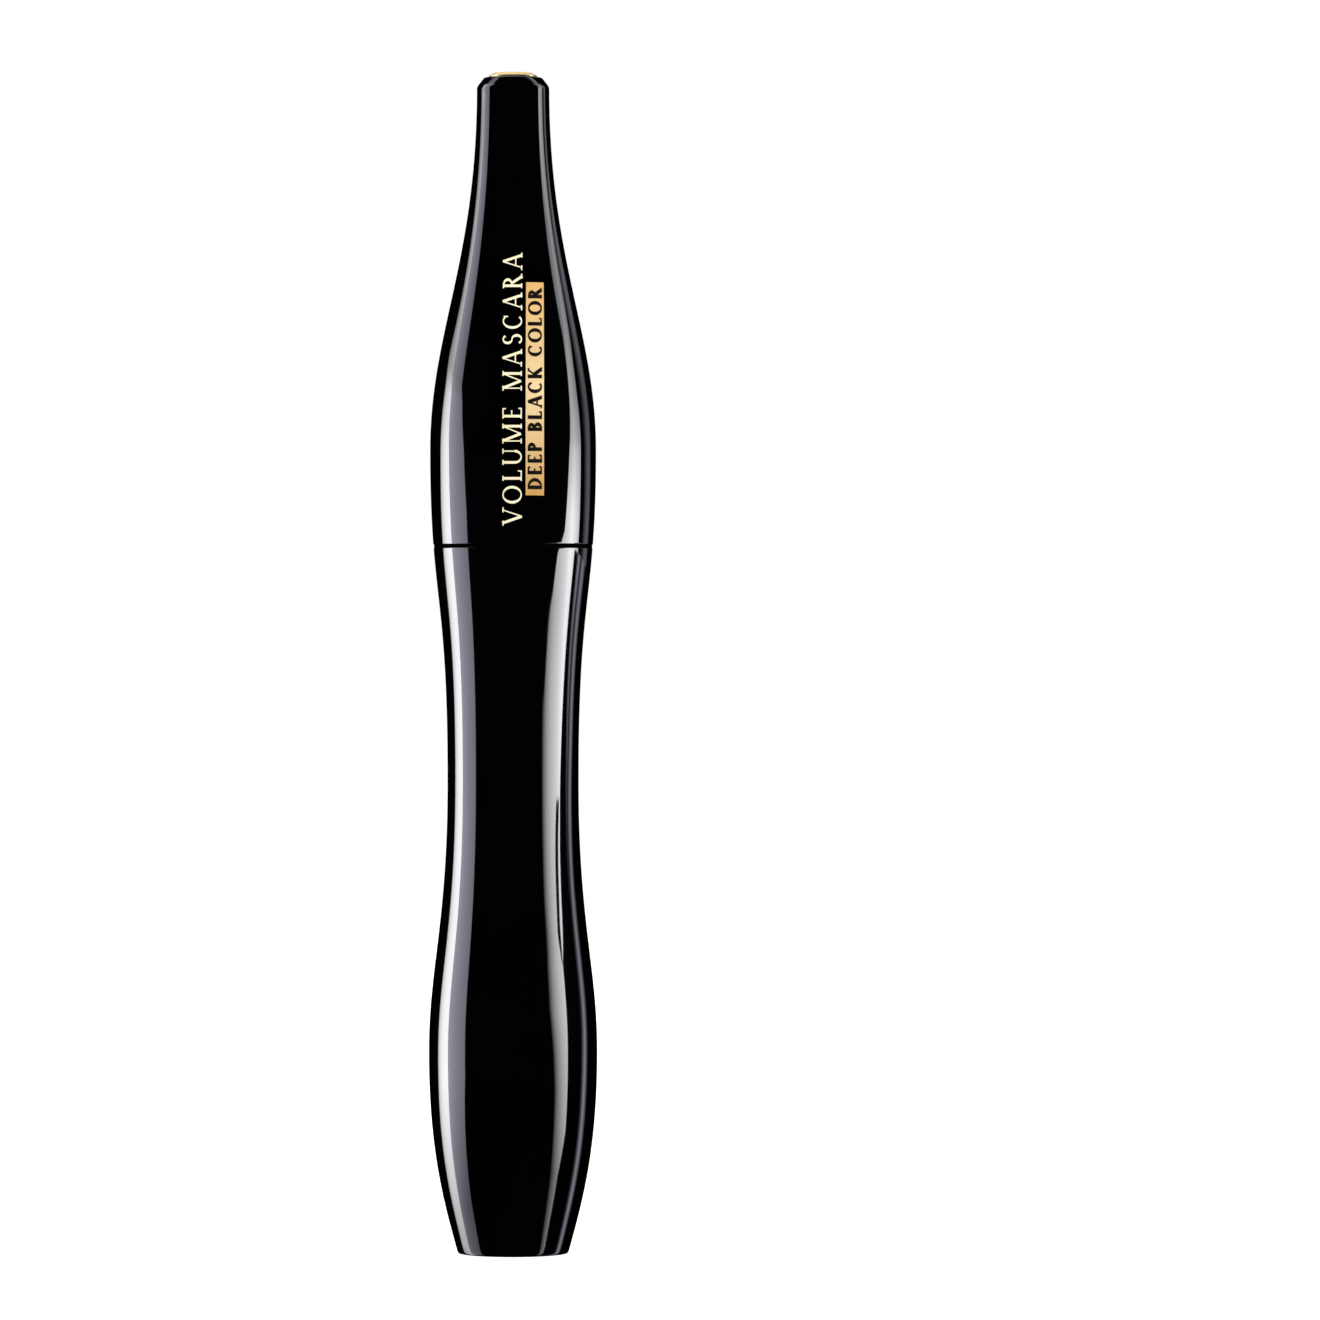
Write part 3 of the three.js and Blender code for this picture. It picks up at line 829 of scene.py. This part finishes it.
TOP_ARM = 1 - THIN / 2
FOOT_ARM = THIN / 2
LETTERS = {  # letter: (width, strokes), in letter heights
    "A": (0.86, [line((0.1, 0), (0.42, 1), THIN), line((0.42, 1), (0.76, 0), THICK),
                 *arm(0.2, 0.65, 0.34), *head(0.1, 0), *head(0.76, 0)]),
    "B": (0.62, [*stem(0.14), bow((0.14, 0.755), 0.32, 0.215, -90, 90, THICK, THIN),
                 bow((0.14, 0.28), 0.36, 0.25, -90, 90, THICK, THIN)]),
    "C": (0.78, [bow((0.42, 0.5), 0.34, 0.47, 50, 310, THICK, THIN),
                 line((0.66, 0.72), (0.66, 0.95), THIN)]),
    "D": (0.82, [*stem(0.14), bow((0.16, 0.5), 0.52, 0.47, -90, 90, THICK, THIN)]),
    "E": (0.6, [*stem(0.14), *arm(0.14, 0.52, TOP_ARM), *arm(0.14, 0.44, 0.52),
                *arm(0.14, 0.54, FOOT_ARM), line((0.52, 0.82), (0.52, 1), THIN),
                line((0.54, 0), (0.54, 0.18), THIN)]),
    "K": (0.8, [*stem(0.14), line((0.16, 0.4), (0.62, 1), THIN), line((0.3, 0.56), (0.68, 0), THICK),
                *head(0.62), *head(0.68, 0)]),
    "L": (0.58, [*stem(0.14), *arm(0.14, 0.52, FOOT_ARM), line((0.52, 0), (0.52, 0.2), THIN)]),
    "M": (1.04, [*stem(0.14, width=THIN), *stem(0.9), line((0.14, 1), (0.52, 0.05), THICK),
                 line((0.52, 0.05), (0.9, 1), THIN)]),
    "O": (0.92, [bow((0.46, 0.5), 0.39, 0.47, 0, 360, THICK, THIN, 28)]),
    "P": (0.6, [*stem(0.14), bow((0.14, 0.73), 0.34, 0.24, -90, 90, THICK, THIN)]),
    "R": (0.74, [*stem(0.14), bow((0.14, 0.745), 0.32, 0.225, -90, 90, THICK, THIN),
                 line((0.3, 0.5), (0.64, 0), THICK), *head(0.64, 0)]),
    "S": (0.58, [bow((0.29, 0.745), 0.19, 0.225, 30, 270, THICK, THIN),
                 bow((0.29, 0.275), 0.21, 0.245, -150, 90, THICK, THIN)]),
    "U": (0.86, [*stem(0.14, low=0.36, feet=(False, True)),
                 *stem(0.72, low=0.36, width=THIN, feet=(False, True)),
                 bow((0.43, 0.36), 0.29, 0.33, 180, 360, THICK, THIN)]),
    "V": (0.84, [line((0.08, 1), (0.43, 0), THICK), line((0.43, 0), (0.76, 1), THIN),
                 *head(0.08), *head(0.76)]),
    " ": (0.36, []),
}


def lettering(build, words, letter_height, foot_across, low, high, proud, facing, bold=1.0):
    """Letters that read upwards along the cap, spaced to fill low to high."""
    natural = sum(LETTERS[c][0] for c in words) * letter_height
    gap = (high - low - natural) / (len(words) - 1)
    cursor = low
    for number, letter in enumerate(words):
        width, strokes = LETTERS[letter]
        for order, stroke in enumerate(strokes):
            rows = []
            for pair in stroke:
                middle = (pair[0] + pair[1]) / 2
                edges = [middle + (p - middle) * bold for p in pair]
                rows.append([
                    (foot_across - p.y * letter_height, cursor + p.x * letter_height) for p in edges
                ])
            slab(build, rows, proud + 0.0006 * order, facing)
        cursor += width * letter_height + gap


FRONT = math.radians(-90)
BACK = math.radians(90)


def front_print(pale, gold, black):
    """Generic wording in pale gold, and a gold bar with generic wording in black beside it."""
    words = Build()
    lettering(words, "VOLUME MASCARA", 2.25, 1.2, 85.0, 116.6, FOIL_PROUD, FRONT)
    words.make("front_print_words", pale, "applicator")
    bar = Build()
    columns = [BAR_LEFT + BAR_WIDTH * k / 8 for k in range(9)]
    heights = [BAR_LOW + (BAR_HIGH - BAR_LOW) * k / 60 for k in range(61)]
    rows = [[(across, height) for across in columns] for height in heights]
    slab(bar, rows, FOIL_PROUD, FRONT)
    bar.make("front_print_bar", gold, "applicator")
    shade = Build()
    lettering(shade, "DEEP BLACK COLOR", 1.62, 3.55, BAR_LOW + BAR_MARGIN, BAR_HIGH - BAR_MARGIN,
              FOIL_PROUD + INK_PROUD, FRONT, 2.0)
    shade.make("front_print_shade", black, "applicator")


def back_ornament(gold):
    """A plain four-pointed star above the cap's rim, opposite the wording."""
    build = Build()
    centre = 88.5
    reach = (2.5, 3.3)
    for quarter in range(4):
        turn = math.pi / 2 * quarter
        rows = []
        for k in range(9):
            angle = turn + math.pi / 2 * k / 8
            curve = (abs(math.cos(angle)) ** 0.5 + abs(math.sin(angle)) ** 0.5) ** -2
            edge = (math.cos(angle) * curve * reach[0], math.sin(angle) * curve * reach[1])
            rows.append([(edge[0] * t, centre + edge[1] * t) for t in (0.12, 0.4, 0.7, 1.0)])
        slab(build, rows, FOIL_PROUD, BACK)
    build.make("back_print_star", gold, "applicator")


# ---- Studio ---------------------------------------------------------------------------------

CARD_DISTANCE = 0.25  # the big cards stand this far from the tube
FLAG_DISTANCE = 0.075
OVERHEAD_LEVEL = 1.2
FLOOR_RADIUS = 2.5
FLOOR_GLOW = 0.62
MATT_FILL = 0.55  # the world's light on matt surfaces
NEUTRAL = (1.0, 1.0, 1.03)
COOL = (0.95, 0.94, 1.12)


def glowing(name, verts, faces, glow):
    """A lamp's face, seen only in reflections. Its glow is one RGBA colour for each point."""
    mesh = bpy.data.meshes.new(name)
    mesh.from_pydata(verts, [], faces)
    mesh.color_attributes.new("glow", "FLOAT_COLOR", "POINT").data.foreach_set("color", glow)
    made = bpy.data.materials.new(name)
    made.use_nodes = True
    tree = made.node_tree
    tree.nodes.clear()
    painted = linked(tree, "ShaderNodeAttribute", attribute_name="glow")
    emission = linked(tree, "ShaderNodeEmission", {"Color": painted.outputs["Color"], "Strength": 1.0})
    output = tree.nodes.new("ShaderNodeOutputMaterial")
    tree.links.new(emission.outputs[0], output.inputs["Surface"])
    mesh.materials.append(made)
    lamp = bpy.data.objects.new(name, mesh)
    bpy.context.scene.collection.objects.link(lamp)
    lamp.visible_camera = False
    lamp.visible_diffuse = False
    lamp.visible_shadow = False


def panel(name, corners, level):
    """A flat panel of one level, in metres."""
    glowing(name, corners, [(0, 1, 2, 3)], [level, level, level, 1.0] * len(corners))


def softbox(name, distance, rows, levels, tint=NEUTRAL):
    """A soft light bent round the tube.

    Each row is (height, start, end, strength). Height is in millimetres, and start and end are
    the box's edges in degrees round the tube, from 0 at the camera to 90 at the picture's right.
    The levels are its brightness in even steps from start to end."""
    verts, glow = [], []
    for height, start, end, strength in rows:
        for k, level in enumerate(levels):
            angle = math.radians(start + (end - start) * k / (len(levels) - 1))
            verts.append((distance * math.sin(angle), -distance * math.cos(angle), height * MM))
            glow += [level * strength * share for share in tint] + [1.0]
    columns = len(levels)
    faces = []
    for i in range(len(rows) - 1):
        for k in range(columns - 1):
            first = i * columns + k
            faces.append((first, first + 1, first + columns + 1, first + columns))
    glowing(name, verts, faces, glow)


def left_lights():
    """A bright strip at the edge of a dimmer, cooler panel."""
    softbox("strip_left", CARD_DISTANCE, [
        (-250, -126, -103, 0.33),
        (-100, -126, -103, 0.38),
        (-30, -123.5, -99, 0.8),
        (0, -122, -98, 1.0),
        (75, -119.5, -97, 1.0),
        (145, -116, -99, 0.75),
        (160, -119, -101, 0.35),
        (190, -112, -101, 0.45),
        (300, -124, -104, 0.35),
        (340, -124, -104, 0.16),
        (600, -126, -104, 0.12),
    ], (4.5, 8.5, 12, 14.5, 16))
    softbox("panel_left", CARD_DISTANCE, [
        (-250, -102.5, -75, 0.4),
        (-100, -102.5, -75, 0.4),
        (-30, -98.5, -70, 0.85),
        (0, -97.5, -67, 1.0),
        (75, -96.5, -67, 1.0),
        (145, -98.5, -76, 0.95),
        (160, -100.5, -80, 0.75),
        (420, -100.5, -78, 0.85),
    ], (5.4, 4.7, 4.2, 3.6), COOL)


def right_lights():
    """A broad soft box, part hidden by dark flags close to the tube, and three dim strips."""
    softbox("box_right", CARD_DISTANCE, [
        (-250, 61, 109, 0.35),
        (-80, 61, 109, 0.45),
        (-10, 59, 109, 0.8),
        (50, 52, 109, 1.0),
        (75, 52, 108.5, 1.0),
        (110, 56, 108, 0.5),
        (145, 57, 106, 0.4),
        (165, 60, 107, 0.38),
        (190, 80, 113, 0.25),
        (300, 80, 113, 0.25),
        (340, 80, 113, 0.12),
        (420, 80, 113, 0.1),
    ], (0, 6, 10, 12, 14, 17, 12, 7))
    softbox("flag_low", FLAG_DISTANCE, [
        (-250, 68, 150, 0),
        (-60, 68, 150, 0),
        (-15, 72, 150, 0),
        (0, 77.5, 150, 0),
        (44, 76, 150, 0),
        (48, 82, 150, 0),
        (52, 87, 150, 0),
        (58, 90.5, 150, 0),
        (65, 95.5, 150, 0),
        (76, 97, 150, 0),
    ], (0, 0, 0, 0, 0, 0))
    softbox("flag_sliver", FLAG_DISTANCE, [
        (44, 75, 76, 0),
        (48, 71, 76.5, 0),
        (50, 73.5, 80.5, 0),
        (53, 79, 86, 0),
    ], (0, 0))
    softbox("strip_low", FLAG_DISTANCE - MM, [
        (-250, 99, 117, 1.0),
        (-60, 99, 117, 1.0),
        (20, 102, 118, 0.9),
        (47, 103, 120, 0.8),
        (58, 108, 125, 0.75),
        (76, 112, 130, 0.6),
    ], (0, 0.8, 3, 1.2, 0), COOL)
    softbox("strip_inner", FLAG_DISTANCE - MM, [
        (47, 101, 107, 0.1),
        (58, 103, 111, 0.4),
        (66, 103, 112, 0.65),
        (76, 104, 114, 1.0),
    ], (0.2, 3, 0.3), COOL)
    softbox("strip_high", FLAG_DISTANCE - MM, [
        (76, 113, 134, 0.8),
        (110, 110, 131, 0.7),
        (130, 110, 132, 1.1),
        (145, 108, 131, 1.5),
        (190, 107, 130, 1.5),
        (215, 105, 138, 3.0),
        (300, 105, 138, 3.0),
    ], (0, 0.5, 1, 0.8, 0), COOL)
    softbox("flag_high", FLAG_DISTANCE, [
        (60, 40, 53, 0),
        (65, 40, 62, 0),
        (73, 40, 66, 0),
        (79, 40, 76, 0),
        (99, 40, 82.5, 0),
        (130, 40, 90, 0),
        (141, 40, 87, 0),
        (300, 40, 87, 0),
    ], (0, 0, 0, 0))


def back_flag():
    """A dark flag beside the tube's right flank, which keeps that edge dark from behind."""
    low, high = -250 * MM, 300 * MM
    side, near, far = 12 * MM, 3.5 * MM, 25 * MM
    panel("flag_back", [(side, near, low), (side, far, low), (side, far, high), (side, near, high)], 0)


def overhead_light():
    """A plain panel above and behind, which lights the gold disc."""
    side, near, far, high = 0.2, 0.05, 0.85, 0.5
    corners = [(-side, near, high), (side, near, high), (side, far, high), (-side, far, high)]
    panel("panel_overhead", corners, OVERHEAD_LEVEL)


def floor():
    """A plain pale floor, lit so evenly that it reads as white, and unseen in reflections."""
    bpy.ops.mesh.primitive_circle_add(vertices=96, radius=FLOOR_RADIUS, fill_type="NGON")
    plane = bpy.context.object
    plane.name = "floor"
    made = bpy.data.materials.new("pale_floor")
    made.use_nodes = True
    tree = made.node_tree
    tree.nodes.clear()
    diffuse = linked(tree, "ShaderNodeBsdfDiffuse", {"Color": (0.8, 0.8, 0.8, 1)})
    glow = linked(tree, "ShaderNodeEmission", {"Color": (1, 1, 1, 1), "Strength": FLOOR_GLOW})
    both = linked(tree, "ShaderNodeAddShader")
    tree.links.new(diffuse.outputs[0], both.inputs[0])
    tree.links.new(glow.outputs[0], both.inputs[1])
    clear = tree.nodes.new("ShaderNodeBsdfTransparent")
    side = tree.nodes.new("ShaderNodeNewGeometry")
    pick = linked(tree, "ShaderNodeMixShader", {"Fac": side.outputs["Backfacing"]})
    tree.links.new(both.outputs[0], pick.inputs[1])
    tree.links.new(clear.outputs[0], pick.inputs[2])
    output = tree.nodes.new("ShaderNodeOutputMaterial")
    tree.links.new(pick.outputs[0], output.inputs["Surface"])
    plane.data.materials.append(made)
    plane.visible_glossy = False
    plane.visible_diffuse = False


def soft_light(name, place, size, power):
    """A soft lamp for matt surfaces only: gloss sees the cards instead."""
    data = bpy.data.lights.new(name, "AREA")
    data.shape = "SQUARE"
    data.size = size
    data.energy = power
    lamp = bpy.data.objects.new(name, data)
    lamp.location = place
    lamp.rotation_euler = (Vector((0, 0, 0.07)) - Vector(place)).to_track_quat("-Z", "Y").to_euler()
    lamp.visible_camera = False
    lamp.visible_glossy = False
    bpy.context.scene.collection.objects.link(lamp)


def world():
    """White behind the object, soft white fill on matt surfaces, and dark for reflections."""
    made = bpy.data.worlds.new("studio")
    made.use_nodes = True
    tree = made.node_tree
    background = tree.nodes["Background"]
    path = tree.nodes.new("ShaderNodeLightPath")
    fill = linked(tree, "ShaderNodeMath", {0: path.outputs["Is Diffuse Ray"], 1: MATT_FILL},
                  operation="MULTIPLY")
    level = linked(tree, "ShaderNodeMath", {0: path.outputs["Is Camera Ray"], 1: fill.outputs[0]},
                   operation="ADD")
    tree.links.new(level.outputs[0], background.inputs["Strength"])
    background.inputs["Color"].default_value = (1, 1, 1, 1)
    bpy.context.scene.world = made


def studio():
    world()
    floor()
    left_lights()
    right_lights()
    back_flag()
    overhead_light()
    soft_light("key", (-0.35, -0.8, 0.55), 0.6, 7)
    soft_light("fill", (0.6, -0.5, 0.4), 0.6, 3)
    soft_light("back", (0.2, 0.8, 0.6), 0.6, 5)
    view = bpy.context.scene.view_settings
    view.view_transform = "Standard"
    view.look = "None"


# ---- Assembly -------------------------------------------------------------------------------

make_camera()
black_gloss = lacquer()
black_satin = satin()
natural = soft_white()
fibres = coated_fibre()
gold = gold_foil_with_painted_highlight()

bottle_shell(black_gloss)
base_plug(black_satin)
base_label(label_film())
vial(black_satin, seam_painted_shade())
wiper(natural)
mascara_paste(wet_paste())
seal_washer(natural)
cap_shell(black_gloss)
cap_liner(black_satin)
cap_end_plug(black_satin)
gold_disc(spun_gold())
wand_rod(rod_gloss())
brush_wire(wire_steel())
for row in range(ROWS):
    bristle_row(row, fibres)
front_print(pale_foil(), gold, print_black())
back_ornament(gold)
studio()
